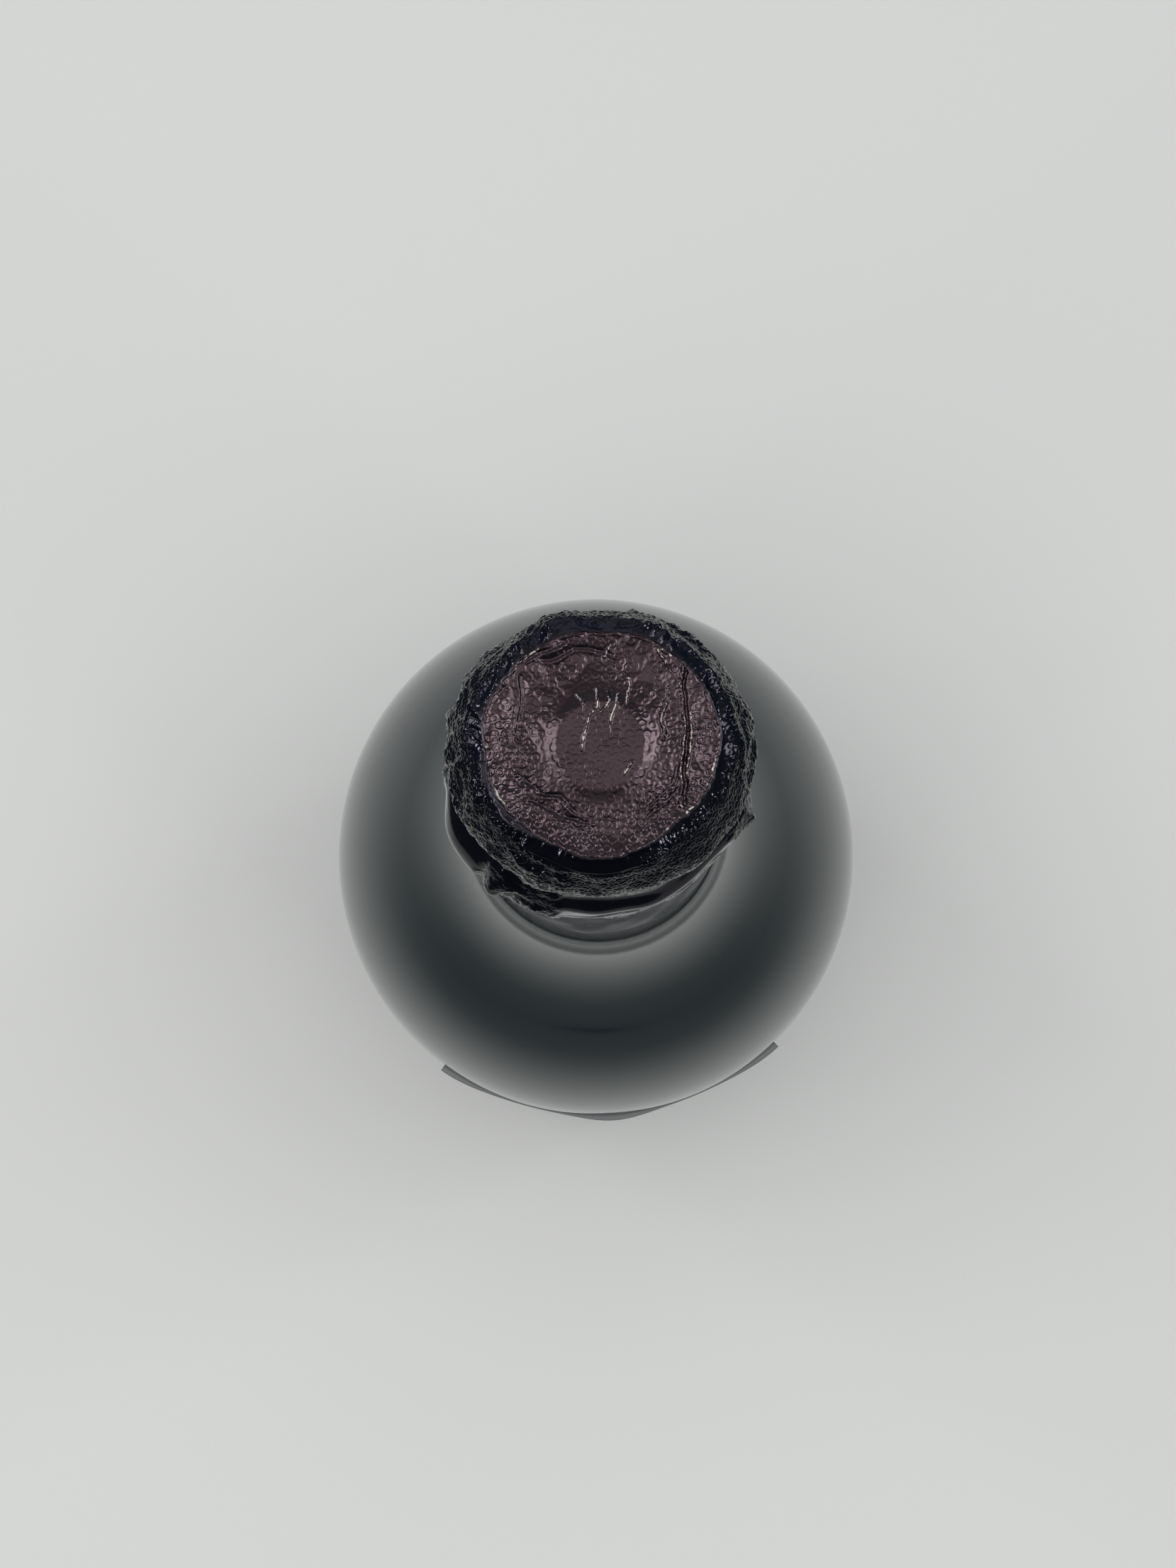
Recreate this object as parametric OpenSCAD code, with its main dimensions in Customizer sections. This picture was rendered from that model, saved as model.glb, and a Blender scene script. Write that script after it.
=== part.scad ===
// A shut bottle of sparkling wine, stood upright: dark glass with a punt, a crumpled foil hood over
// the stopper and its wire cage, and a thin paper label on the front.
// Millimetres. +Z is up and the front faces -Y. The origin is the centre of the foot, on the table.

/* [Glass body] */
// Radius of the straight side
body_r = 44.2; // [36:0.1:60]
// Height of the top of the straight side above the table
body_h = 123; // [60:1:200]
// Radius of the rounded heel
heel_r = 8; // [3:0.5:12]
// Width of the flat ring that the bottle stands on
foot_w = 4; // [2:0.5:8]
// Height of the punt, the hollow under the foot
punt_h = 32; // [10:1:45]
// How pointed the punt is: 1 is a cone and 2 is a bowl
punt_power = 1.8; // [1.2:0.1:2.5]

/* [Glass shoulder and neck] */
// Radius of the convex curve of the shoulder, seen from the side
shoulder_curve = 84; // [60:1:260]
// Radius of the hollow curve between the shoulder and the neck
root_curve = 75; // [40:1:160]
// Radius of the glass at the top of the neck
neck_r = 14.7; // [12:0.1:18]
// How much wider the neck is at its foot, where the hollow curve ends
neck_spread = 3.2; // [0.5:0.1:5]
// Length of the straight neck
neck_h = 79.3; // [35:0.1:90]

/* [Glass finish] */
// How far the collar that the cage grips stands out from the neck
collar_w = 1.5; // [1.3:0.1:3]
// Height of the collar
collar_h = 6; // [4:0.5:9]
// How much narrower than the neck's top the lip is
lip_inset = 0.7; // [0:0.1:1.4]
// Height of the lip above the collar
lip_h = 7; // [5:0.5:12]
// Rounding of the edges of the collar and the lip
finish_round = 1.2; // [0.4:0.1:1.3]

/* [Foil hood] */
// Height of the foil's top face above the glass
stopper_h = 20; // [14:0.5:30]
// How far the head stands out past the glass lip where the stopper is widest
head_w = 2.7; // [2:0.1:5]
// How far the rim of the top face lies inside the widest place
rim_inset = 3.7; // [2:0.1:5]
// Depth of the widest place below the top face
head_d = 8; // [5:0.5:10]
// How far the head is out of round
head_oval = 0.7; // [0:0.1:1.2]
// How far the waist under the head stands out past the glass lip
waist_w = 1.8; // [1.4:0.1:3]
// How far the cage's belt and the foil over it stand out past the collar
belt_w = 1.3; // [0.8:0.1:3]
// Height over which the foil closes in on the neck below the collar
tuck_h = 4; // [2:0.5:8]
// How far the belt stands out at each leg of the cage
leg_h = 2.1; // [0:0.1:3]
// How far the cage's twisted loop lifts the foil
loop_h = 2.4; // [0:0.1:3]
// Thickness of the foil with its folds, where it lies on the neck
foil_t = 0.6; // [0.4:0.1:1.2]
// Length of the foil below the belt, down to its hem
skirt_h = 55; // [30:1:75]
// Depth of the folds in the foil
fold_h = 0.25; // [0:0.01:0.3]
// Depth of the round trough pressed into the top face
trough_h = 1; // [0:0.1:1.5]
// Radius of the raised disc in the middle of the top face
disc_r = 4.8; // [3:0.1:6]

/* [Front label] */
// Height of the lower edge of the label above the table
label_z = 29; // [12:1:60]
// Height of the label
label_h = 90; // [40:1:140]
// Width of the label, measured round the glass
label_w = 62; // [40:1:100]
// Thickness of the label
label_t = 0.25; // [0.15:0.05:0.5]
// How far the upper edge has come away from the glass at its ends and in the middle
label_lift = 1; // [0:0.1:1.5]

/* [Fit] */
// Space between the glass and what covers it
fit = 0.05; // [0.02:0.01:0.2]

/* [Hidden] */
$fn = 96;

front = -90;                    // direction of the front
label_turn = 4;                 // the label sits this far off the front
arc_steps = 24;                 // steps along each curve of the glass
hood_sides = 64;                // facets round the hood
cage_legs = [[-17.5, 1], [78, 1], [160.5, 0.95], [-108.5, 0.65]];  // [direction, share of leg_h]
loop_angle = 210;               // where the cage's loop is folded down
rim_flats = [[185, 0.4], [228, 0.7], [267, 0.3], [314, 1.0]];  // [direction, depth] of the rim's flats

root_r = neck_r + neck_spread;
collar_r = neck_r + collar_w;
lip_r = neck_r - lip_inset;

// Curves of the glass: the shoulder and the hollow curve meet at turn_a from the vertical.
// The hollow curve ends at the neck's own taper, which is found by closing in on it.
function turn_angle(taper) =
    acos((shoulder_curve + root_curve * cos(taper) - (body_r - root_r)) / (shoulder_curve + root_curve));
neck_taper = atan((root_r - neck_r) / neck_h);
turn_a = turn_angle(neck_taper);
turn_z = body_h + shoulder_curve * sin(turn_a);
hollow_z = turn_z + root_curve * sin(turn_a);
hollow_r = body_r - shoulder_curve + (shoulder_curve + root_curve) * cos(turn_a);
root_z = hollow_z - root_curve * sin(neck_taper);
neck_z = root_z + neck_h;
collar_z = neck_z + collar_h;
glass_z = collar_z + lip_h;
punt_r = body_r - heel_r - foot_w;

// Radii of the hood, from the finish that it covers
head_r = lip_r + head_w;
rim_r = head_r - rim_inset;
waist_r = lip_r + waist_w;
belt_r = collar_r + belt_w;

// Heights of the hood, as depths below its top face: the belt runs over the collar
hood_z = glass_z + stopper_h;
waist_d = stopper_h + lip_h / 3;
belt_top_d = stopper_h + lip_h;
belt_end_d = belt_top_d + collar_h;
belt_d = (belt_top_d + belt_end_d) / 2;
tuck_d = belt_end_d + tuck_h;
hem_d = belt_d + skirt_h;

label_half = label_w / 2 / body_r * 180 / PI;

// Small helpers
function mix(a, b, t) = a + (b - a) * t;
function ease(t) = (1 - cos(180 * max(0, min(1, t)))) / 2;
function bell(x) = exp(-x * x);
function turned(a) = a - 360 * floor((a + 180) / 360);
function total(list, i = 0) = i < len(list) ? list[i] + total(list, i + 1) : 0;
function arc(r, z, radius, from, to, steps = arc_steps) =
    [for (i = [0:steps]) let (a = mix(from, to, i / steps)) [r + radius * cos(a), z + radius * sin(a)]];

// Radius of the glass at height z, from the body to the top of the neck
function glass_r(z) =
    z < body_h ? body_r :
    z < turn_z ? body_r - shoulder_curve + sqrt(pow(shoulder_curve, 2) - pow(z - body_h, 2)) :
    z < root_z ? hollow_r - sqrt(pow(root_curve, 2) - pow(hollow_z - z, 2)) :
    mix(root_r, neck_r, (z - root_z) / neck_h);

function punt_outline() =
    [for (i = [0:arc_steps]) let (t = i / arc_steps) [punt_r * t, punt_h * (1 - pow(t, punt_power))]];

function glass_outline() = concat(
    punt_outline(),
    arc(body_r - heel_r, heel_r, heel_r, -90, 0),
    arc(body_r - shoulder_curve, body_h, shoulder_curve, 0, turn_a),
    arc(hollow_r, hollow_z, root_curve, 180 + turn_a, 180 + neck_taper),
    [[neck_r, neck_z]],
    arc(collar_r - finish_round, neck_z + finish_round, finish_round, -90, 0, 6),
    arc(collar_r - finish_round, collar_z - finish_round, finish_round, 0, 90, 6),
    [[lip_r, collar_z]],
    arc(lip_r - finish_round, glass_z - finish_round, finish_round, 0, 90, 6),
    [[0, glass_z]]);

module bottle() {
    color([0.07, 0.10, 0.10])
        rotate_extrude() polygon(glass_outline());
}

// Outer radius of the hood at depth d, before the cage and the folds shape it
function hood_r(d) =
    d < head_d ? mix(rim_r, head_r, sin(90 * d / head_d)) :
    d < waist_d ? mix(head_r, waist_r, ease((d - head_d) / (waist_d - head_d))) :
    d < belt_end_d ? mix(waist_r, belt_r, ease((d - waist_d) / (belt_top_d - waist_d))) :
    mix(belt_r, skin_r(d), ease((d - belt_end_d) / tuck_h));

// Radius of foil that lies on the neck
function skin_r(d) = glass_r(min(hood_z - d, neck_z)) + fit + foil_t;

// What the cage adds: a point at each leg and a broad swelling over the loop
function cage(a, d) =
    leg_h * bell((d - belt_d) / 3.2) * total([for (leg = cage_legs) leg[1] * bell(turned(a - leg[0]) / 7)])
    + loop_h * bell((d - belt_d) / 5) * bell(turned(a - loop_angle) / 24);

// Folds, which are deepest where the foil stands clear of the glass
function folds(a, d) =
    fold_h * (sin(7 * a + 9 * d) + sin(11 * a - 13 * d + 50) + 0.6 * sin(17 * a + 21 * d))
    * mix(1, 0.4, ease((d - belt_d) / 12)) / 2.6;

// The rim is cut to flats, which fade out down the side of the head
function flats(a, d) =
    let (depth = [for (f = rim_flats) f[1] * bell(turned(a - f[0]) / 22)])
    total(depth) * (1 - ease(d / head_d));

function oval(a, d) = head_oval * cos(2 * a) * bell((d - head_d) / 8);

function side_point(a, d) =
    let (r = hood_r(d) + cage(a, d) + folds(a, d) + oval(a, d) - flats(a, d))
    [r * cos(a), r * sin(a), hood_z - d];

// The top face: a disc in the middle, a trough round it and a raised rim; share is 0 to 1 of the way out
function top_point(a, share) =
    let (edge = hood_r(0) + folds(a, 0) + oval(a, 0) - flats(a, 0),
         r = share * edge,
         drop = trough_h * ease((r - disc_r) / (0.36 * rim_r))
             * (1 - ease((r - 0.76 * rim_r) / (0.2 * rim_r))))
    [r * cos(a), r * sin(a), hood_z - drop];

function inner_point(a, r, z) = [(r + fit) * cos(a), (r + fit) * sin(a), z];

// Depth at angle a of a ring at depth d, of which the last one makes the uneven hem
function ring_depth(a, d) = d < hem_d ? d : d + 0.5 * sin(3 * a + 20) + 0.3 * sin(8 * a);

top_shares = [0.1, 0.2, 0.3, 0.37, 0.45, 0.53, 0.6, 0.68, 0.76, 0.84, 0.92, 1];
head_steps = [for (i = [1:8]) head_d * pow(i / 8, 1.4)];
waist_steps = [for (i = [1:6]) mix(head_d, waist_d, i / 6)];
belt_steps = [for (i = [1:9]) mix(waist_d, tuck_d, i / 9)];
skirt_steps = [for (i = [1:8]) mix(tuck_d, hem_d, i / 8)];
side_depths = concat(head_steps, waist_steps, belt_steps, skirt_steps);
cavity_steps = [for (i = [0:8]) mix(hem_d, hood_z - neck_z + fit, i / 8)];
finish_steps = [
    [collar_r, neck_z - fit],
    [collar_r, collar_z + fit],
    [lip_r, collar_z + fit],
    [lip_r, glass_z + fit]];

// Rings of the hood from the middle of its top face, down its outside and up its inside
function hood_rings(angles) = concat(
    [for (share = top_shares) [for (a = angles) top_point(a, share)]],
    [for (d = side_depths) [for (a = angles) side_point(a, ring_depth(a, d))]],
    [for (d = cavity_steps) [for (a = angles)
        let (z = hood_z - ring_depth(a, d)) inner_point(a, glass_r(z), z)]],
    [for (step = finish_steps) [for (a = angles) inner_point(a, step[0], step[1])]]);

function joined(rings) = [for (ring = rings) each ring];

// A closed skin over a stack of rings, with a point in the middle of the first and the last ring
module ring_solid(rings, first, last) {
    n = len(rings[0]);
    m = len(rings);
    points = concat([first], joined(rings), [last]);
    start_fan = [for (i = [0:n - 1]) [0, 1 + (i + 1) % n, 1 + i]];
    skin = [for (k = [0:m - 2], i = [0:n - 1], half = [0, 1])
        let (j = (i + 1) % n, u = 1 + k * n, v = u + n)
        half == 0 ? [u + i, u + j, v + i] : [u + j, v + j, v + i]];
    end_fan = [for (i = [0:n - 1]) let (u = 1 + (m - 1) * n) [u + i, u + (i + 1) % n, 1 + m * n]];
    polyhedron(points, concat(start_fan, skin, end_fan), convexity = 6);
}

module foil_hood() {
    angles = [for (i = [0:hood_sides - 1]) 360 * i / hood_sides];
    color([0.27, 0.18, 0.22])
        ring_solid(hood_rings(angles), [0, 0, hood_z], [0, 0, glass_z + fit]);
}

// How far the label has come away at angle a from its middle and height z
function label_off(a, z) =
    let (t = a / label_half,
         along = bell((t + 1) / 0.28) + bell(t / 0.22) + bell((t - 1) / 0.28))
    label_lift * along * ease((z - (label_z + label_h - 12)) / 12);

function label_point(a, z, depth) =
    let (r = glass_r(z) + fit + depth + label_off(a, z), b = front + label_turn + a)
    [r * cos(b), r * sin(b), z];

// Heights of the label's rows, with closer ones wherever it reaches over the shoulder's curve
function label_heights() =
    let (steps = 8,
         label_top = label_z + label_h,
         plain = [for (k = [0:steps]) label_z + label_h * (1 - pow(1 - k / steps, 1.6))],
         curved_steps = max(1, ceil((label_top - body_h) / 2.5)))
    concat(
        [for (z = plain) if (z < body_h) z],
        label_top < body_h ? [] : [for (k = [0:curved_steps]) mix(body_h, label_top, k / curved_steps)]);

// A curved sheet: rows run up the label, and each row goes round it
module front_label() {
    cols = 36;
    heights = label_heights();
    rows = len(heights) - 1;
    turns = [for (i = [0:cols]) label_half * (2 * i / cols - 1)];
    // Each ring of the skin goes round the sheet at one height: out along its face and back behind it.
    rings = [for (z = heights) concat(
        [for (a = turns) label_point(a, z, label_t)],
        [for (i = [cols:-1:0]) label_point(turns[i], z, 0)])];
    middle = (cols + 1) * 2;
    points = joined(rings);
    skin = [for (k = [0:rows - 1], i = [0:middle - 1], half = [0, 1])
        let (j = (i + 1) % middle, u = k * middle, v = u + middle)
        half == 0 ? [u + j, u + i, v + i] : [u + j, v + i, v + j]];
    foot = [for (i = [0:cols - 1], half = [0, 1])
        half == 0 ? [i, i + 1, middle - 1 - i] : [i + 1, middle - 2 - i, middle - 1 - i]];
    head = [for (f = foot) [for (p = [2, 1, 0]) f[p] + rows * middle]];
    color([0.16, 0.17, 0.18])
        polyhedron(points, concat(skin, foot, head), convexity = 4);
}

bottle();
foil_hood();
front_label();
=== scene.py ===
"""A shut bottle of sparkling wine: dark glass, an embossed and crumpled foil hood, and a plain front label.

The foot stands on z = 0 and the front faces -Y. The bottle's sizes are in millimetres, as in the CAD model,
and make_mesh turns them into metres. The studio's sizes are in metres.
The hood's shape follows the formulas of the CAD model, with a crisper rim and sharper points over the cage.
Facets, creases, pleats and the embossed bubbles are added to it as real geometry.
On the hood, d is the depth below its top face and a the direction in degrees.
"""
import math

import bpy
import numpy as np
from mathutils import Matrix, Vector


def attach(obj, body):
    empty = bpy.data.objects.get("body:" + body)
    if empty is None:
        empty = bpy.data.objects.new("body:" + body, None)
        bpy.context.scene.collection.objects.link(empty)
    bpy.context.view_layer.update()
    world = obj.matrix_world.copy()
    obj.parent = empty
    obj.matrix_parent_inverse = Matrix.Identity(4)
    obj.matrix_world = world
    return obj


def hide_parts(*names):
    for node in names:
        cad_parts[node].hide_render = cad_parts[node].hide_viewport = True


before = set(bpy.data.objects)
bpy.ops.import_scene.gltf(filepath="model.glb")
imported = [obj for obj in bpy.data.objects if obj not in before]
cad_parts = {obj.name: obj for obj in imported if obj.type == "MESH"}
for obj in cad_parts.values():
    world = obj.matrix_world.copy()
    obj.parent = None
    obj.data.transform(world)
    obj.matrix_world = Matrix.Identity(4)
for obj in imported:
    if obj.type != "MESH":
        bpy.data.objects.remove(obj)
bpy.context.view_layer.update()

MM = 0.001
TAU = 2 * math.pi

# Sizes of the CAD model, in millimetres
BODY_R = 44.2
BODY_H = 123.0
HEEL_R = 8.0
FOOT_W = 4.0
PUNT_H = 32.0
PUNT_POWER = 1.8
SHOULDER_CURVE = 84.0
ROOT_CURVE = 75.0
NECK_R = 14.7
NECK_SPREAD = 3.2
NECK_H = 79.3
COLLAR_W = 1.5
COLLAR_H = 6.0
LIP_INSET = 0.7
LIP_H = 7.0
FINISH_ROUND = 1.2
STOPPER_H = 20.0
HEAD_W = 2.7
RIM_INSET = 3.7
HEAD_D = 8.0
HEAD_OVAL = 0.7
WAIST_W = 1.8
BELT_W = 1.3
LEG_H = 2.1
LOOP_H = 2.4
FOIL_T = 0.6
TUCK_H = 4.0
SKIRT_H = 55.0
FOLD_H = 0.25
TROUGH_H = 1.0
DISC_R = 4.8
LABEL_Z = 29.0
LABEL_H = 90.0
LABEL_W = 62.0
LABEL_T = 0.25
LABEL_LIFT = 1.0
LABEL_TURN = 4.0
FIT = 0.05
CAGE_LEGS = ((-17.5, 1.0), (78, 1.0), (160.5, 0.95), (-108.5, 0.65))  # (direction, share of LEG_H)
LOOP_ANGLE = 210
RIM_FLATS = ((185, 0.4), (228, 0.7), (267, 0.3), (314, 1.0))  # (direction, depth)

# Half-widths of the cage's marks and the rim's flats: turns in degrees, reaches in millimetres
LEG_TURN = 7
LEG_REACH = 3.2
LOOP_TURN = 24
LOOP_REACH = 5
FLAT_TURN = 22

# The finer skins that stand for the hood
CROWN_D = 9.0  # where the crown ends and the belt's sleeve begins, as depths below the top
BELT_SLEEVE_D = 38.0
LAP = 0.02  # how far each skin reaches into the next
TOP_SINK = 0.25  # the top is sunk this far, so that its relief stays inside the CAD model's box
HEAD_WALL = 1.5  # how far inside the belt's skin its inner wall lies, above the glass
HEM_BLEND = 6.0  # the length over which the foil comes down to its wavy lower edge
BUBBLE_PITCH = 1.05
ROW_STEP = BUBBLE_PITCH * 0.866
BUBBLES_AROUND = 96  # columns of bubbles round the hood's side
TOP_EMBOSS_H = 0.1
SIDE_EMBOSS_H = 0.15
DISC_STEP_H = 0.3  # how far the top face falls at the edge of the disc in its middle
LIP_RIDGE_H = 0.13
BEVEL_W = 1.1  # under the rim the head widens by this much within the depth BEVEL_D
BEVEL_D = 1.4
WRINKLE_W = 0.13
BARE_GLINT_W = 0.1  # the part of a wrinkle that may be worn bare, as a painted glint

# Where the label's upper edge has come away: over the height PEEL_H, in three places
PEEL_H = 12.0
PEELED = ((-1, 0.28), (0, 0.22), (1, 0.28))  # (place, half-width), as shares of the label's half-width

# Radii that follow from the sizes
PUNT_R = BODY_R - HEEL_R - FOOT_W
ROOT_R = NECK_R + NECK_SPREAD
COLLAR_R = NECK_R + COLLAR_W
LIP_R = NECK_R - LIP_INSET
HEAD_R = LIP_R + HEAD_W
RIM_R = HEAD_R - RIM_INSET
WAIST_R = LIP_R + WAIST_W
BELT_R = COLLAR_R + BELT_W
LABEL_HALF = math.degrees(LABEL_W / 2 / BODY_R)

# The glass: the shoulder's curve meets the hollow curve at TURN_A from the vertical
NECK_TAPER = math.atan((ROOT_R - NECK_R) / NECK_H)
TURN_A = math.acos(
    (SHOULDER_CURVE + ROOT_CURVE * math.cos(NECK_TAPER) - (BODY_R - ROOT_R)) / (SHOULDER_CURVE + ROOT_CURVE)
)
TURN_Z = BODY_H + SHOULDER_CURVE * math.sin(TURN_A)
HOLLOW_Z = TURN_Z + ROOT_CURVE * math.sin(TURN_A)
HOLLOW_R = BODY_R - SHOULDER_CURVE + (SHOULDER_CURVE + ROOT_CURVE) * math.cos(TURN_A)
ROOT_Z = HOLLOW_Z - ROOT_CURVE * math.sin(NECK_TAPER)
NECK_Z = ROOT_Z + NECK_H
COLLAR_Z = NECK_Z + COLLAR_H
GLASS_Z = COLLAR_Z + LIP_H
HOOD_Z = GLASS_Z + STOPPER_H
WAIST_D = STOPPER_H + LIP_H / 3
BELT_TOP_D = STOPPER_H + LIP_H
BELT_END_D = BELT_TOP_D + COLLAR_H
BELT_D = (BELT_TOP_D + BELT_END_D) / 2
TUCK_D = BELT_END_D + TUCK_H
HEM_D = BELT_D + SKIRT_H


# ---------------------------------------------------------------- small helpers
def ease(t):
    return (1 - np.cos(np.pi * np.clip(t, 0, 1))) / 2


def bell(x):
    return np.exp(-x * x)


def turned(degrees):
    """An angle in degrees brought between -180 and 180."""
    return (degrees + 180) % 360 - 180


def mix(a, b, t):
    return a + (b - a) * t


def scatter(i, j, salt):
    """An even random number from 0 to 1 for each pair of whole numbers."""
    x = (i.astype(np.int64) * 374761393 + j.astype(np.int64) * 668265263 + salt * 974634777) & 0xFFFFFFFF
    x = ((x ^ (x >> 13)) * 1274126177) & 0xFFFFFFFF
    x = ((x ^ (x >> 16)) * 2246822519) & 0xFFFFFFFF
    return ((x ^ (x >> 15)) & 0xFFFFFF) / float(0x1000000)


def smooth_noise(p, salt):
    """Gradient noise at an array of points, about -1 to 1."""
    cell = np.floor(p).astype(np.int64)
    f = p - cell
    w = f * f * f * (f * (f * 6 - 15) + 10)
    total = np.zeros(p.shape[:-1])
    for corner in range(8):
        off = np.array([corner & 1, corner >> 1 & 1, corner >> 2 & 1])
        c = cell + off
        key = c[..., 0] + 57 * c[..., 2]
        turn = scatter(key, c[..., 1], salt) * TAU
        tilt = scatter(key, c[..., 1], salt + 1) * 2 - 1
        flat = np.sqrt(1 - tilt * tilt)
        d = f - off
        grad = flat * np.cos(turn) * d[..., 0] + flat * np.sin(turn) * d[..., 1] + tilt * d[..., 2]
        weight = np.ones(total.shape)
        for axis in range(3):
            weight = weight * (w[..., axis] if off[axis] else 1 - w[..., axis])
        total += grad * weight
    return total * 1.6


def creased(p, size, salt):
    """Noise with sharp valleys where sheets of crumpled foil meet, 0 to about 1. size is in millimetres."""
    return np.abs(smooth_noise(p / size, salt))


# ---------------------------------------------------------------- the glass
def arc(r, z, radius, start, end, steps):
    """Points of an arc round (r, z), from start to end in degrees."""
    a = np.radians(np.linspace(start, end, steps + 1))
    return np.stack([r + radius * np.cos(a), z + radius * np.sin(a)], 1)


def glass_r(z):
    """Radius of the glass from the straight side to the top of the neck."""
    z = np.asarray(z, float)
    shoulder = BODY_R - SHOULDER_CURVE + np.sqrt(np.maximum(SHOULDER_CURVE**2 - (z - BODY_H) ** 2, 0))
    hollow = HOLLOW_R - np.sqrt(np.maximum(ROOT_CURVE**2 - (HOLLOW_Z - z) ** 2, 0))
    neck = mix(ROOT_R, NECK_R, (z - ROOT_Z) / NECK_H)
    return np.select([z < BODY_H, z < TURN_Z, z < ROOT_Z], [BODY_R, shoulder, hollow], neck)


def glass_outline():
    """Radius and height along the glass, from the punt over the foot and up to the top of the finish."""
    turn = math.degrees(TURN_A)
    taper = math.degrees(NECK_TAPER)
    t = np.linspace(0.0, 1.0, 33)[1:]
    punt = np.stack([PUNT_R * t, PUNT_H * (1 - t**PUNT_POWER)], 1)
    inset = FINISH_ROUND
    return np.concatenate([
        punt,
        arc(BODY_R - HEEL_R, HEEL_R, HEEL_R, -90, 0, 16),
        np.stack([np.full(11, BODY_R), np.linspace(HEEL_R, BODY_H, 13)[1:-1]], 1),
        arc(BODY_R - SHOULDER_CURVE, BODY_H, SHOULDER_CURVE, 0, turn, 60),
        arc(HOLLOW_R, HOLLOW_Z, ROOT_CURVE, 180 + turn, 180 + taper, 40)[1:],
        [[NECK_R, NECK_Z]],
        arc(COLLAR_R - inset, NECK_Z + inset, inset, -90, 0, 6),
        arc(COLLAR_R - inset, COLLAR_Z - inset, inset, 0, 90, 6),
        [[LIP_R, COLLAR_Z]],
        arc(LIP_R - inset, GLASS_Z - inset, inset, 0, 90, 6),
    ])


def make_mesh(name, points, faces):
    """A smooth-shaded mesh object. points are in millimetres."""
    mesh = bpy.data.meshes.new(name)
    mesh.from_pydata((np.asarray(points) * MM).tolist(), [], faces)
    mesh.validate()
    mesh.polygons.foreach_set("use_smooth", np.full(len(mesh.polygons), True))
    mesh.update()
    piece = bpy.data.objects.new(name, mesh)
    bpy.context.scene.collection.objects.link(piece)
    return piece


def strip(lower, upper):
    """Faces between two closed rings of vertex numbers, listed the same way round."""
    a, b = np.asarray(lower), np.asarray(upper)
    return np.stack([a, np.roll(a, -1), np.roll(b, -1), b], 1).tolist()


def grid_faces(ids):
    """Faces of an open grid of vertex numbers."""
    return np.stack([ids[:-1, :-1], ids[:-1, 1:], ids[1:, 1:], ids[1:, :-1]], -1).reshape(-1, 4)


def make_glass():
    """The whole bottle in one revolved skin, closed in the middle of the punt and of the top."""
    sides = 256
    outline = glass_outline()
    angles = np.arange(sides) * TAU / sides
    r, z = outline[:, 0:1], outline[:, 1:2]
    rings = np.stack([r * np.cos(angles), r * np.sin(angles), z + 0 * angles], -1)
    points = np.concatenate([rings.reshape(-1, 3), [[0, 0, PUNT_H], [0, 0, GLASS_Z]]])
    ids = np.arange(len(outline) * sides).reshape(len(outline), sides)
    faces = []
    for low, high in zip(ids[:-1], ids[1:]):
        faces += strip(low, high)
    foot, top = len(points) - 2, len(points) - 1
    faces += [[foot, b, a] for a, b in zip(ids[0], np.roll(ids[0], -1))]
    faces += [[top, a, b] for a, b in zip(ids[-1], np.roll(ids[-1], -1))]
    return make_mesh("glass_bottle", points, faces)


# ---------------------------------------------------------------- the foil hood
def hood_r(d):
    """Radius of the hood at depth d below its top face, before the cage and the folds shape it."""
    z = HOOD_Z - d
    skin = glass_r(np.minimum(z, NECK_Z)) + FIT + FOIL_T
    bevel = BEVEL_W * np.clip(d / BEVEL_D, 0, 1)
    head = RIM_R + bevel + (HEAD_R - RIM_R - BEVEL_W) * np.clip(d / HEAD_D, 0, 1) ** 0.85
    under = mix(HEAD_R, WAIST_R, ease((d - HEAD_D) / (WAIST_D - HEAD_D)))
    flare = mix(WAIST_R, BELT_R, ease((d - WAIST_D) / (BELT_TOP_D - WAIST_D)))
    tuck = mix(BELT_R, skin, ease((d - BELT_END_D) / TUCK_H))
    return np.select([d < HEAD_D, d < WAIST_D, d < BELT_END_D], [head, under, flare], tuck)


def cage(a, d):
    """What the cage adds: a point at each leg and a broad swelling over the twisted loop."""
    legs = sum(share * np.exp(-np.abs(turned(a - leg)) / LEG_TURN) for leg, share in CAGE_LEGS)
    # The swelling ends in a narrow dent and a sharp corner.
    loop = LOOP_H * bell(turned(a - LOOP_ANGLE) / LOOP_TURN) - 0.9 * bell(turned(a - 222.5) / 2.0)
    corner = 0.6 * np.exp(-np.abs(turned(a - 228)) / 3)
    return LEG_H * bell((d - BELT_D) / LEG_REACH) * legs + bell((d - BELT_D) / LOOP_REACH) * (loop + corner)


def folds(a, d):
    """Broad soft folds round the hood, fainter below the belt."""
    rad = np.radians
    wave = np.sin(rad(7 * a + 9 * d)) + np.sin(rad(11 * a - 13 * d + 50)) + 0.6 * np.sin(rad(17 * a + 21 * d))
    return FOLD_H * wave * mix(1, 0.4, ease((d - BELT_D) / 12)) / 2.6


def flats(a, d):
    """How far the rim is pushed in at its flats."""
    return sum(depth * bell(turned(a - at) / FLAT_TURN) for at, depth in RIM_FLATS) * (1 - ease(d / HEAD_D))


def oval(a, d):
    """The head is a little wider from side to side than from front to back."""
    return HEAD_OVAL * np.cos(np.radians(2 * a)) * bell((d - HEAD_D) / 8)


def side_r(a, d):
    """Radius of the hood's plain side, before the foil's finer relief."""
    return hood_r(d) + cage(a, d) + folds(a, d) + oval(a, d) - flats(a, d)


def hem_drop(a):
    """How far the lower edge of the foil wanders down, by direction."""
    return 0.5 * np.sin(np.radians(3 * a + 20)) + 0.3 * np.sin(np.radians(8 * a))


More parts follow.
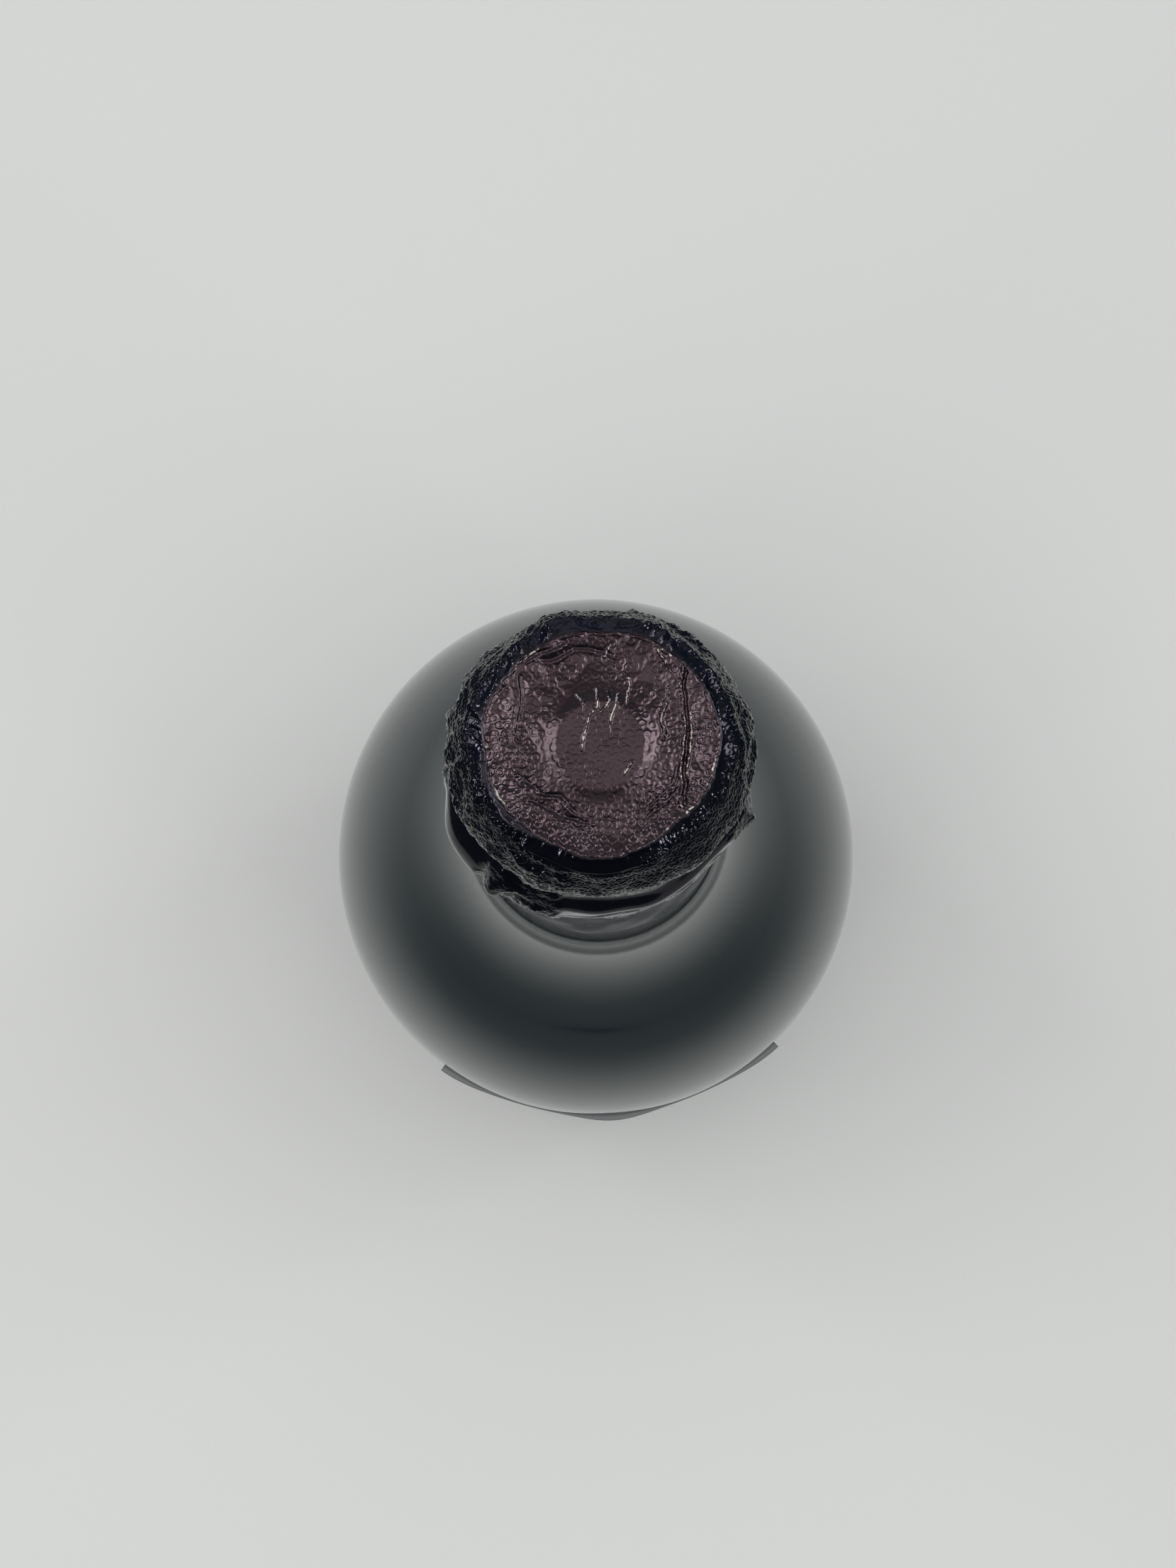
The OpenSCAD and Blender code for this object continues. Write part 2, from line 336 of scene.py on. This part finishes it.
def bubbles(u, v, salt, around=None):
    """Height of the embossing, 0 to 1: uneven close-packed rings, each with a small dome inside.

    u and v count millimetres over the surface. around is the number of cells after which u repeats."""
    cu = u / BUBBLE_PITCH
    cv = v / ROW_STEP
    row = np.floor(cv)
    best = np.zeros(np.shape(u))
    for dj in (-1, 0, 1):
        j = (row + dj).astype(np.int64)
        shift = (j % 2) * 0.5
        col = np.floor(cu - shift)
        for di in (-1, 0, 1):
            i = (col + di).astype(np.int64)
            key = i % around if around else i
            x = i + shift + 0.5 + (scatter(key, j, salt) - 0.5) * 0.5
            y = j + 0.5 + (scatter(key, j, salt + 7) - 0.5) * 0.5
            size = 0.36 + 0.12 * scatter(key, j, salt + 3)
            q = np.hypot((cu - x) * BUBBLE_PITCH, (cv - y) * ROW_STEP) / size
            ring = bell((q - 0.8) / 0.3) + 0.55 * bell(q / 0.35)
            best = np.maximum(best, ring * (0.7 + 0.3 * scatter(key, j, salt + 5)))
    return best


def grid_normals(p):
    """Normals of a grid of points, from their neighbours. The grid's second axis closes on itself."""
    dv = np.gradient(p, axis=0)
    du = (np.roll(p, -1, 1) - np.roll(p, 1, 1)) / 2
    n = np.cross(dv, du)
    return n / np.maximum(np.linalg.norm(n, axis=-1, keepdims=True), 1e-12)


def side_grid(angles, depths):
    """Grids over the hood's plain side: angles, depths, points, and distances from the rim along the foil."""
    a, d = np.meshgrid(np.degrees(angles), depths)
    r = side_r(a, d)
    p = np.stack([r * np.cos(np.radians(a)), r * np.sin(np.radians(a)), HOOD_Z - d], -1)
    run = np.linspace(0, HEM_D, 800)
    length = np.concatenate([[0], np.cumsum(np.hypot(np.diff(hood_r(run)), np.diff(run)))])
    return a, d, p, np.interp(depths, run, length)[:, None] + 0 * a


def window(x, low, high, edge):
    """1 between low and high, fading to 0 over edge on both sides."""
    return ease((x - low) / edge + 0.5) * ease((high - x) / edge + 0.5)


# Where the foil lies smooth: (direction, from, to, fade) in degrees, and (from, to, fade) in depth
CALM = (
    ((-90, -38, 18, 14), (0.2, 2.0, 0.8)),  # under the front rim
    ((-68, -38, 38, 8), (20, 31.5, 3)),  # round the belt's front
    ((203, -17, 17, 6), (22, 38, 5)),  # over the cage's loop
)


def calm(a, d):
    """1 where the foil lies smooth, and 0 where it is crumpled."""
    places = [window(turned(a - at), *turns) * window(d, *depths) for (at, *turns), depths in CALM]
    return np.max(places, axis=0)


def side_relief(a, d, p, along):
    """How far the foil's finer shape stands off the plain side, in millimetres."""
    u = (a % 360) / 360 * BUBBLES_AROUND * BUBBLE_PITCH
    # Below the belt the foil is pulled smooth, which flattens its bubbles too.
    stretched = ease((d - TUCK_D) / 10)
    height = mix(SIDE_EMBOSS_H, 0.02, stretched) * mix(0.3, 1, ease((d - 0.4) / 1.2))
    emboss = bubbles(u, along, 11, BUBBLES_AROUND) * height
    facets = 0.9 * creased(p, 5.5, 3) - 0.8 * creased(p + 7.7, 4.4, 15) + 0.3 * creased(p, 2.4, 5)
    fine = creased(p * np.array([1, 1, 0.5]), 1.2, 9) - 0.3
    tame = window(turned(a + 50), -50, 45, 24)
    loose = mix(1, 0.04, stretched) * (1 - 0.65 * tame)
    turn = a / 9 + d / 5 + 1.6 * smooth_noise(p / 6.0, 71)
    pleats = 0.26 * (1 - np.abs(2 * (turn - np.floor(turn)) - 1)) * (0.4 + smooth_noise(p / 5.0, 73))
    rise = ease(d / 0.5) * (1 - 0.97 * calm(a, d))
    return (emboss + loose * (0.75 * facets + 0.06 * fine + pleats)) * rise


def rim_nick(a):
    """Small unevenness of the rim, in millimetres, by angle in degrees."""
    t = np.radians(a)
    p = np.stack([np.cos(t) * 13, np.sin(t) * 13, 0 * t], -1)
    return 0.16 * smooth_noise(p / 1.1, 21) + 0.1 * smooth_noise(p / 0.5, 22)


def disc_map(n):
    """Points of an n by n grid moved onto the unit disc, as distance from the middle and angle."""
    x, y = np.meshgrid(np.linspace(-1, 1, n + 1), np.linspace(-1, 1, n + 1))
    wide = np.abs(x) > np.abs(y)
    with np.errstate(divide="ignore", invalid="ignore"):
        turn = np.where(wide, np.pi / 4 * y / x, np.pi / 2 - np.pi / 4 * x / y)
    reach = np.where(wide, x, y)
    turn = np.where((x == 0) & (y == 0), 0, turn)
    return np.abs(reach), np.where(reach < 0, turn + np.pi, turn)


def stroke(x, y, points, width):
    """1 along a polyline through points, falling off over width, and the signed distance to its right."""
    best = np.full(np.shape(x), 1e9)
    side = np.zeros(np.shape(x))
    for (ax, ay), (bx, by) in zip(points[:-1], points[1:]):
        length = math.hypot(bx - ax, by - ay)
        ux, uy = (bx - ax) / length, (by - ay) / length
        along = np.clip((x - ax) * ux + (y - ay) * uy, 0, length)
        dx, dy = x - ax - along * ux, y - ay - along * uy
        far = np.hypot(dx, dy)
        nearer = far < best
        best = np.where(nearer, far, best)
        side = np.where(nearer, dx * uy - dy * ux, side)
    return bell(best / width), np.where(side < 0, -best, best)


# Creases pressed into the top face: (points in mm from the middle, depth, ridge beside it, width)
TOP_CREASES = (
    (((9.7, 12.0), (9.4, 4.0), (9.5, -2.0), (9.3, -6.6)), 0.26, 0.24, 0.17),
    (((7.6, 6.2), (7.1, 3.4), (7.3, 1.0)), 0.03, 0.14, 0.14),
    (((-9.0, 7.5), (-8.7, 4.0), (-8.9, 0.8)), 0.14, 0.06, 0.16),
    (((-6.5, 9.6), (-3.0, 10.8), (0.5, 10.6), (2.0, 9.6)), 0.12, 0.08, 0.2),
    (((-8.2, 9.4), (-6.6, 10.6), (-4.0, 11.5)), 0.1, 0.08, 0.18),
    (((5.6, -6.6), (8.0, -4.4), (9.0, -1.8)), 0.13, 0.12, 0.2),
    (((5.0, -8.0), (7.4, -6.6), (8.6, -4.8)), 0.12, 0.1, 0.2),
    (((-8.8, -3.4), (-6.8, -5.2), (-4.6, -5.8), (-2.5, -7.2)), 0.16, 0.1, 0.22),
    (((-7.6, -6.0), (-4.6, -7.6), (-1.0, -8.6)), 0.13, 0.1, 0.22),
)
# Thin sharp wrinkles that catch the light: (points in mm from the middle, height)
TOP_WRINKLES = (
    (((0.9, 11.2), (0.5, 10.0)), 0.13),
    (((-0.8, 6.1), (-0.4, 4.2), (-1.2, 3.0), (-1.4, 1.5), (-1.8, -0.1), (-2.0, -1.0)), 0.12),
    (((0.5, 5.8), (0.9, 5.0), (0.3, 3.6)), 0.13),
    (((-2.6, 5.6), (-2.0, 4.6)), 0.12),
    (((3.0, 7.7), (2.9, 6.1), (3.1, 4.6)), 0.13),
    (((1.7, 5.8), (1.9, 4.2), (1.5, 2.3)), 0.12),
    (((7.2, 5.0), (6.9, 2.6), (7.2, 1.3)), 0.15),
    (((6.4, 10.8), (7.2, 9.3)), 0.13),
    (((3.5, -1.8), (2.8, -3.0)), 0.16),
    (((-9.0, 9.0), (-8.0, 9.8)), 0.13),
    (((9.9, 3.6), (9.9, -0.6), (9.7, -3.4)), 0.16),
)


def drift(p):
    """A slow sideways shift of points of the top face, so that no crease runs straight."""
    return np.stack([smooth_noise(p / 2.5, 51), smooth_noise(p / 2.5, 53), 0 * p[..., 0]], -1)


def top_relief(x, y, r, edge):
    """Height of the top face against the rim, in millimetres.

    r is the distance from the middle, and edge the rim's distance in the same direction."""
    share = r / edge
    p = np.stack([x, y, 0 * x + 4.0], -1)
    # The disc in the middle, and the trough between it and the rim
    step = DISC_STEP_H * ease((r - DISC_R + 0.2) / 1.7)
    inner_wall = ease((r - DISC_R) / (0.36 * RIM_R))
    outer_wall = 1 - ease((r - 0.73 * RIM_R) / (0.26 * RIM_R))
    drop = 0.5 * TROUGH_H * inner_wall * outer_wall
    # Embossed bubbles: fainter on the disc, in patches, and towards the back
    strength = mix(0.4, 1.0, ease((r - DISC_R - 1.2) / 2.4))
    strength = strength * np.clip(0.95 + 0.7 * smooth_noise(p / 3.5, 91), 0.3, 1.4)
    emboss = bubbles(x + 40, y + 40, 31) * TOP_EMBOSS_H * strength * mix(1.1, 0.55, ease(y / 8))
    # Crumpling, creases and sharp wrinkles
    shift = drift(p)
    loose = mix(0.25, 1.0, ease((r - DISC_R - 1.2) / 2.0))
    wave = loose * (0.2 * creased(p + 0.6 * shift, 3.4, 41) + 0.1 * creased(p, 1.5, 43) - 0.1)
    wx, wy = x + 0.5 * shift[..., 0], y + 0.5 * shift[..., 1]
    creases = np.zeros(np.shape(x))
    for points, depth, ridge, width in TOP_CREASES:
        mark, off = stroke(wx, wy, points, width)
        creases += ridge * bell((off - 2.1 * width) / (1.1 * width)) - depth * mark
    for points, height in TOP_WRINKLES:
        creases += height * stroke(wx, wy, points, WRINKLE_W)[0]
    rays = creased(np.stack([x / 0.55, y / 2.6, 0 * x], -1), 1.0, 61)
    behind = bell(x / 3.4) * bell((y - 4.6) / 2.6)
    lip = LIP_RIDGE_H * bell((share - 0.982) / 0.014) * (0.6 + smooth_noise(p / 0.9, 63))
    fine = emboss + wave + creases + 0.07 * behind * rays
    return -drop - step + lip + fine * (1 - ease((share - 0.97) / 0.03))


# Where the rim's lacquer is worn off, set where the rim shows painted glints: (direction, half-width), in
# degrees
RUBBED_RIM_GLINTS = ((180, 13), (205, 8), (226, 14), (318, 20), (345, 6), (3, 11), (55, 8), (128, 12))


def wear_and_glints(x, y):
    """True where the lacquer is worn off to bare metal, which paints glints: broken lines on wrinkles, and
    bits of the rim.
    """
    a = np.degrees(np.arctan2(y, x))
    share = np.hypot(x, y) / (side_r(a, np.zeros_like(a)) + rim_nick(a))
    p = np.stack([x, y, 0 * x + 4.0], -1)
    shift = drift(p)
    wx, wy = x + 0.5 * shift[..., 0], y + 0.5 * shift[..., 1]
    broken = smooth_noise(p / 0.45, 81) + 0.8 * smooth_noise(p / 2.2, 83)
    lines = np.zeros(np.shape(x))
    for points, _ in TOP_WRINKLES:
        lines = np.maximum(lines, stroke(wx, wy, points, BARE_GLINT_W)[0])
    # The lip beside the long crease on the right
    points, _, _, width = TOP_CREASES[0]
    _, off = stroke(wx, wy, points, width)
    lip = bell((off - 2.1 * width) / (0.5 * width)) * (broken > 0.2)
    rim = bell((share - 0.985) / 0.008) * sum(bell(turned(a - at) / wide) for at, wide in RUBBED_RIM_GLINTS)
    return (lines * (broken > -0.05) > 0.62) | (lip > 0.6) | (rim * (broken > 0.3) > 0.5)


def perimeter(ids):
    """Vertex numbers round the edge of a grid, anticlockwise from its lower right corner."""
    return np.concatenate([ids[:-1, -1], ids[-1, :0:-1], ids[:0:-1, 0], ids[0, :-1]])


def top_skin(reach, turn):
    """Points of the top face, from points of the unit disc."""
    a = np.degrees(turn)
    edge = side_r(a, np.zeros_like(a)) + rim_nick(a)
    r = reach * edge
    x, y = r * np.cos(turn), r * np.sin(turn)
    uneven = 0.5 * rim_nick(a + 40) * ease((reach - 0.9) / 0.1)
    return np.stack([x, y, HOOD_Z + top_relief(x, y, r, edge) + uneven - TOP_SINK], -1)


def head_skin(angles, rows):
    """Points of the upper side in rows, which are closer together near the rim."""
    depths = CROWN_D * (np.arange(1, rows + 1) / rows) ** 1.15
    a, d, p, along = side_grid(angles, depths)
    nick = rim_nick(a) * (1 - ease(d / 1.5))
    outward = np.stack([np.cos(np.radians(a)), np.sin(np.radians(a)), 0 * a], -1)
    side = p + grid_normals(p) * side_relief(a, d, p, along)[..., None] + outward * nick[..., None]
    side[..., 2] -= TOP_SINK * (1 - ease(d / 2))
    return side


def make_crown():
    """The top face and the upper part of the head, in one skin with a flat closing face underneath."""
    n, rows = ((260, 84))
    reach, turn = disc_map(n)
    top = top_skin(reach, turn)
    ids = np.arange(turn.size).reshape(turn.shape)
    rim = perimeter(ids)
    side = head_skin(turn.reshape(-1)[rim], rows)
    # A smaller ring and one flat face close the skin underneath.
    inner = side[-1] * np.array([0.9, 0.9, 1.0])
    points = np.concatenate([top.reshape(-1, 3), side.reshape(-1, 3), inner])
    rings = np.arange(ids.size, len(points)).reshape(-1, len(rim))
    faces = grid_faces(ids).tolist()
    for upper, lower in zip([rim, *rings], rings):
        faces += strip(lower, upper)
    faces.append(rings[-1, ::-1].tolist())
    crown = make_mesh("foil_crown", points, faces)

    # Materials: 0 the side, a darker copy of the top's foil that is painted shade; 1 the top; 2 bare metal,
    # which also paints glints
    middles = (top[:-1, :-1] + top[:-1, 1:] + top[1:, 1:] + top[1:, :-1]) / 4
    tone = np.zeros(len(crown.data.polygons), dtype=np.int32)
    tone[: n * n] = np.where(wear_and_glints(middles[..., 0], middles[..., 1]), 2, 1).reshape(-1)
    crown.data.polygons.foreach_set("material_index", tone)
    return crown


def make_sleeve(name, top_d, end_d, sides, rows, hem=False):
    """One stretch of the foil's side, as a closed skin with an inner wall."""
    angles = np.arange(sides) * TAU / sides
    depths = np.linspace(top_d, end_d, rows + 1)
    a, d, p, along = side_grid(angles, depths)
    side = p + grid_normals(p) * side_relief(a, d, p, along)[..., None]
    if hem:
        side[..., 2] -= hem_drop(a) * ease((d - end_d + HEM_BLEND) / HEM_BLEND)
    inner = []
    for depth in (end_d, top_d):
        if depth > TUCK_D:
            r = glass_r(min(HOOD_Z - depth, NECK_Z)) + FIT
        else:
            r = hood_r(np.array(depth)) - HEAD_WALL
        drop = hem_drop(np.degrees(angles)) if hem and depth == end_d else 0
        ring = np.stack([r * np.cos(angles), r * np.sin(angles), HOOD_Z - depth - drop + 0 * angles], -1)
        inner.append(ring)
    points = np.concatenate([side.reshape(-1, 3)] + inner)
    ids = np.arange(len(points)).reshape(-1, sides)
    faces = []
    for upper, lower in zip(ids, np.roll(ids, -1, 0)):
        faces += strip(lower, upper)
    return make_mesh(name, points, faces)


# ---------------------------------------------------------------- the label
def label_off(a, z):
    """How far the label has come away at angle a from its middle and height z."""
    along = sum(bell((a / LABEL_HALF - at) / wide) for at, wide in PEELED)
    return LABEL_LIFT * along * ease((z - (LABEL_Z + LABEL_H - PEEL_H)) / PEEL_H) ** 2.5


def make_label():
    """A thin sheet round the front of the glass, lifted off it in places along its upper edge."""
    steps = 120
    turns = np.linspace(-LABEL_HALF, LABEL_HALF, steps + 1)
    heights = np.linspace(LABEL_Z, LABEL_Z + LABEL_H, steps + 1)
    a, z = np.meshgrid(turns, heights)

    def sheet(depth, lift):
        r = glass_r(z) + FIT + depth + lift * label_off(a, z)
        b = np.radians(a - 90 + LABEL_TURN)
        return np.stack([r * np.cos(b), r * np.sin(b), z], -1)

    # The back stays by the glass, so that no slit shows under the lifted edge.
    face, back = sheet(LABEL_T, 1.0), sheet(0.0, 0.0)
    points = np.concatenate([face.reshape(-1, 3), back.reshape(-1, 3)])
    ids = np.arange(a.size).reshape(a.shape)
    quads, edge = grid_faces(ids), perimeter(ids)
    offset = a.size
    faces = quads.tolist() + (quads[:, ::-1] + offset).tolist() + strip(edge + offset, edge)
    return make_mesh("front_paper", points, faces)


# ---------------------------------------------------------------- materials
def new_material(name, colour, roughness):
    material = bpy.data.materials.new(name)
    material.use_nodes = True
    shader = material.node_tree.nodes["Principled BSDF"]
    shader.inputs["Base Color"].default_value = colour
    shader.inputs["Roughness"].default_value = roughness
    return material, shader


def glass_material():
    material, shader = new_material("dark_glass", (0.002, 0.009, 0.012, 1), 0.08)
    shader.inputs["IOR"].default_value = 1.52
    return material


def foil_material(name, colour, edge, roughness):
    """Lacquered metal foil. edge is its colour at grazing angles."""
    material, shader = new_material(name, colour, roughness)
    shader.inputs["Metallic"].default_value = 1.0
    shader.inputs["Specular Tint"].default_value = edge
    shader.inputs["Coat Weight"].default_value = 0.8
    shader.inputs["Coat Roughness"].default_value = 0.1
    return material


# Bright bare metal: partly wear, partly painted glints on wrinkles and the rim.
def bare_glint_material():
    material, shader = new_material("bare_metal_glints", (0.9, 0.84, 0.72, 1), 0.4)
    shader.inputs["Metallic"].default_value = 1.0
    return material


def label_material():
    return new_material("label_paper", (0.2, 0.2, 0.2, 1), 0.6)[0]


def floor_material():
    material, shader = new_material("pale_floor", (0.62, 0.617, 0.598, 1), 0.9)
    shader.inputs["Specular IOR Level"].default_value = 0.0
    return material


# ---------------------------------------------------------------- the studio
FLOOR_HALF = 0.42
CARD_Z = 0.0008
CARD_BACK = 0.16  # the card runs from the floor's front edge back to here
CARD_REACH = (0.11, 0.31)  # distance from the bottle's axis over which the card fades in
CARD_FACING = (0.5, -0.75)  # Y over that distance, from where it is clear to where it is full
CARD_GLOW = 0.26
SOFTBOX_PLACE = (-0.08, -0.02, 1.3)
SOFTBOX_AIM = (0, 0, 0.15)
SOFTBOX_SIZE = 1.5
SOFTBOX_POWER = 15.8  # in watts
CAMERA_PLACE = (-0.00135, -0.0342, 0.343)  # from the middle of the hood's top
CAMERA_TILT = 4.97  # degrees off straight down
CAMERA_LENS = 47.8  # in millimetres, for a sensor SENSOR_H tall
SENSOR_H = 24


def lay_plane(name, half, front, back, z, material):
    """A flat rectangle of the studio, from front to back along Y."""
    mesh = bpy.data.meshes.new(name)
    corners = [(-half, front, z), (half, front, z), (half, back, z), (-half, back, z)]
    mesh.from_pydata(corners, [], [(0, 1, 2, 3)])
    mesh.materials.append(material)
    plane = bpy.data.objects.new(name, mesh)
    bpy.context.scene.collection.objects.link(plane)
    return plane


def smooth_step(tree, value, start, end, top=1.0):
    """A node output that rises smoothly from 0 to top as value goes from start to end."""
    node = tree.nodes.new("ShaderNodeMapRange")
    node.interpolation_type = "SMOOTHSTEP"
    node.inputs["From Min"].default_value = start
    node.inputs["From Max"].default_value = end
    node.inputs["To Max"].default_value = top
    tree.links.new(value, node.inputs["Value"])
    return node.outputs[0]


def math_node(tree, operation, a, b):
    """The output of a Math node. a and b are numbers or outputs of other nodes."""
    node = tree.nodes.new("ShaderNodeMath")
    node.operation = operation
    for socket, value in zip(node.inputs, (a, b)):
        if isinstance(value, (int, float)):
            socket.default_value = value
        else:
            tree.links.new(value, socket)
    return node.outputs[0]


def make_floor():
    floor = lay_plane("floor", FLOOR_HALF, -FLOOR_HALF, FLOOR_HALF, 0, floor_material())


def card_material():
    """Fades in away from the bottle, and from its back towards its front."""
    material = bpy.data.materials.new("grey_card")
    material.use_nodes = True
    tree = material.node_tree
    tree.nodes.clear()
    place = tree.nodes.new("ShaderNodeTexCoord").outputs["Object"]
    split = tree.nodes.new("ShaderNodeSeparateXYZ")
    tree.links.new(place, split.inputs[0])
    reach = tree.nodes.new("ShaderNodeVectorMath")
    reach.operation = "LENGTH"
    tree.links.new(place, reach.inputs[0])
    distance = reach.outputs["Value"]
    facing = math_node(tree, "DIVIDE", split.outputs["Y"], distance)
    away = smooth_step(tree, distance, *CARD_REACH)
    fade = math_node(tree, "MULTIPLY", away, smooth_step(tree, facing, *CARD_FACING))
    glow = tree.nodes.new("ShaderNodeEmission")
    glow.inputs["Color"].default_value = (0.95, 1.0, 1.0, 1)
    glow.inputs["Strength"].default_value = CARD_GLOW
    clear = tree.nodes.new("ShaderNodeBsdfTransparent")
    blend = tree.nodes.new("ShaderNodeMixShader")
    tree.links.new(fade, blend.inputs[0])
    tree.links.new(clear.outputs[0], blend.inputs[1])
    tree.links.new(glow.outputs[0], blend.inputs[2])
    out = tree.nodes.new("ShaderNodeOutputMaterial")
    tree.links.new(blend.outputs[0], out.inputs["Surface"])
    return material


def make_card():
    """A grey card low over the floor, seen only in reflections, which darkens the front of the glass."""
    card = lay_plane("front_card", FLOOR_HALF, -FLOOR_HALF, CARD_BACK, CARD_Z, card_material())
    card.visible_camera = False
    card.visible_diffuse = False
    card.visible_transmission = False
    card.visible_shadow = False


def make_softbox():
    """One soft light above the bottle, which lights it and the floor but isn't seen in reflections."""
    place, aim = Vector(SOFTBOX_PLACE), Vector(SOFTBOX_AIM)
    light = bpy.data.lights.new("softbox", "AREA")
    light.shape = "SQUARE"
    light.size = SOFTBOX_SIZE
    light.energy = SOFTBOX_POWER
    lamp = bpy.data.objects.new("softbox", light)
    lamp.location = place
    lamp.rotation_euler = (aim - place).to_track_quat("-Z", "Y").to_euler()
    lamp.visible_glossy = False
    bpy.context.scene.collection.objects.link(lamp)


SKY = (  # (height of the direction, radiance, tint): dark and cool near the horizon, neutral overhead
    (-1.0, 0.10, (0.8, 0.95, 1.1)),
    (0.0, 0.07, (0.6, 0.9, 1.25)),
    (0.25, 0.08, (0.6, 0.9, 1.25)),
    (0.5, 0.10, (0.7, 0.95, 1.2)),
    (0.75, 0.13, (0.85, 1.0, 1.1)),
    (0.9, 0.15, (1.0, 1.0, 1.0)),
    (0.97, 0.28, (1.0, 1.0, 1.0)),
    (1.0, 0.72, (1.0, 1.0, 1.0)),
)
WHITE = (1.0, 1.0, 1.0)
PALE = (0.96, 1.0, 1.02)
PATCHES = (  # (direction, radiance, tint, half-width of the bright middle and of the whole patch, in degrees)
    ((-0.52, 0.14, 0.84), 2.0, PALE, 3, 16),
    ((0.52, 0.14, 0.84), 2.6, PALE, 3, 16),
    ((-0.46, -0.22, 0.86), 0.9, PALE, 3, 16),
    ((0.46, -0.22, 0.86), 1.1, PALE, 3, 16),
    ((0.0, -0.50, 0.86), 0.12, PALE, 4, 18),
    ((-0.10, 0.95, 0.30), 0.22, WHITE, 6, 34),
    ((-0.74, 0.52, 0.42), 7.0, WHITE, 3.5, 5.5),
    ((0.80, 0.40, 0.44), 7.0, WHITE, 3.5, 5.5),
    ((0.72, -0.62, 0.30), 9.0, WHITE, 2.6, 4.4),
    ((-0.96, -0.10, 0.26), 7.0, WHITE, 3.0, 5.0),
    ((-0.68, -0.68, 0.27), 9.0, WHITE, 2.6, 4.4),
)
SKY_SLANT = (0.45, 0.95)  # the dome's brightness is the first times Y plus the second
BACKDROP = (0.60, 0.60, 0.59, 1)


def make_world():
    """A soft studio dome for light and reflections. The camera itself sees a plain pale backdrop."""
    world = bpy.data.worlds.new("studio")
    world.use_nodes = True
    tree = world.node_tree
    nodes, links = tree.nodes, tree.links

    place = nodes.new("ShaderNodeTexCoord").outputs["Generated"]
    split = nodes.new("ShaderNodeSeparateXYZ")
    links.new(place, split.inputs[0])
    level = nodes.new("ShaderNodeMapRange")
    level.inputs["From Min"].default_value = -1
    links.new(split.outputs["Z"], level.inputs["Value"])
    ramp = nodes.new("ShaderNodeValToRGB")
    ramp.color_ramp.interpolation = "B_SPLINE"
    stops = ramp.color_ramp.elements
    while len(stops) < len(SKY):
        stops.new(0.5)
    for stop, (height, value, tint) in zip(stops, SKY):
        stop.position = (height + 1) / 2
        stop.color = tuple(value * part for part in tint) + (1,)
    links.new(level.outputs[0], ramp.inputs[0])
    slant = math_node(tree, "MULTIPLY", split.outputs["Y"], SKY_SLANT[0])
    back = math_node(tree, "ADD", slant, SKY_SLANT[1])
    tinted = nodes.new("ShaderNodeVectorMath")
    tinted.operation = "SCALE"
    links.new(ramp.outputs["Color"], tinted.inputs[0])
    links.new(back, tinted.inputs["Scale"])
    total = tinted.outputs[0]
    for direction, radiance, tint, inner, outer in PATCHES:
        size = math.sqrt(sum(c * c for c in direction))
        dot = nodes.new("ShaderNodeVectorMath")
        dot.operation = "DOT_PRODUCT"
        links.new(place, dot.inputs[0])
        dot.inputs[1].default_value = [c / size for c in direction]
        start, end = math.cos(math.radians(outer)), math.cos(math.radians(inner))
        glow = nodes.new("ShaderNodeVectorMath")
        glow.operation = "MULTIPLY_ADD"
        links.new(smooth_step(tree, dot.outputs["Value"], start, end, radiance), glow.inputs[0])
        glow.inputs[1].default_value = tint
        links.new(total, glow.inputs[2])
        total = glow.outputs[0]
    dome = nodes["Background"]
    links.new(total, dome.inputs["Color"])
    plain = nodes.new("ShaderNodeBackground")
    plain.inputs["Color"].default_value = BACKDROP
    ray = nodes.new("ShaderNodeLightPath")
    choose = nodes.new("ShaderNodeMixShader")
    links.new(ray.outputs["Is Camera Ray"], choose.inputs[0])
    links.new(dome.outputs[0], choose.inputs[1])
    links.new(plain.outputs[0], choose.inputs[2])
    links.new(choose.outputs[0], nodes["World Output"].inputs["Surface"])
    bpy.context.scene.world = world


def make_camera():
    """Almost straight above the bottle, a little to its front, as far off as the photo's perspective says."""
    camera = bpy.data.cameras.new("camera")
    camera.sensor_fit = "VERTICAL"
    camera.sensor_height = SENSOR_H
    camera.lens = CAMERA_LENS
    camera.clip_start = 0.01
    view = bpy.data.objects.new("camera", camera)
    x, y, above = CAMERA_PLACE
    view.location = (x, y, HOOD_Z * MM + above)
    view.rotation_euler = (math.radians(CAMERA_TILT), 0, 0)
    bpy.context.scene.collection.objects.link(view)
    bpy.context.scene.camera = view


def finish_piece(piece, node, slot, *materials):
    """Gives a piece its materials, says which body it rides on, and hides the CAD node that it stands for."""
    for material in materials:
        piece.data.materials.append(material)
    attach(piece, "root")
    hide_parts(node)


def main():
    make_camera()
    make_world()
    make_softbox()
    make_floor()
    make_card()
    finish_piece(make_glass(), "bottle", "dark_glass", glass_material())
    top = foil_material("aubergine_foil", (0.098, 0.06, 0.07, 1), (0.35, 0.3, 0.33, 1), 0.19)
    # The sides are the same foil as the top; their darker copy paints the shade and dark reflections of the
    # steep sides.
    side = foil_material("painted_shade_foil", (0.034, 0.028, 0.042, 1), (0.22, 0.21, 0.25, 1), 0.14)
    finish_piece(make_crown(), "foil_hood", "foil", side, top, bare_glint_material())
    belt = make_sleeve("foil_belt", CROWN_D - LAP, BELT_SLEEVE_D, 600, 150)
    finish_piece(belt, "foil_hood", "foil", side)
    skirt = make_sleeve("foil_skirt", BELT_SLEEVE_D - LAP, HEM_D, 480, 200, hem=True)
    finish_piece(skirt, "foil_hood", "foil", side)
    finish_piece(make_label(), "front_label", "label", label_material())
    bpy.context.scene.view_settings.view_transform = "Standard"


main()
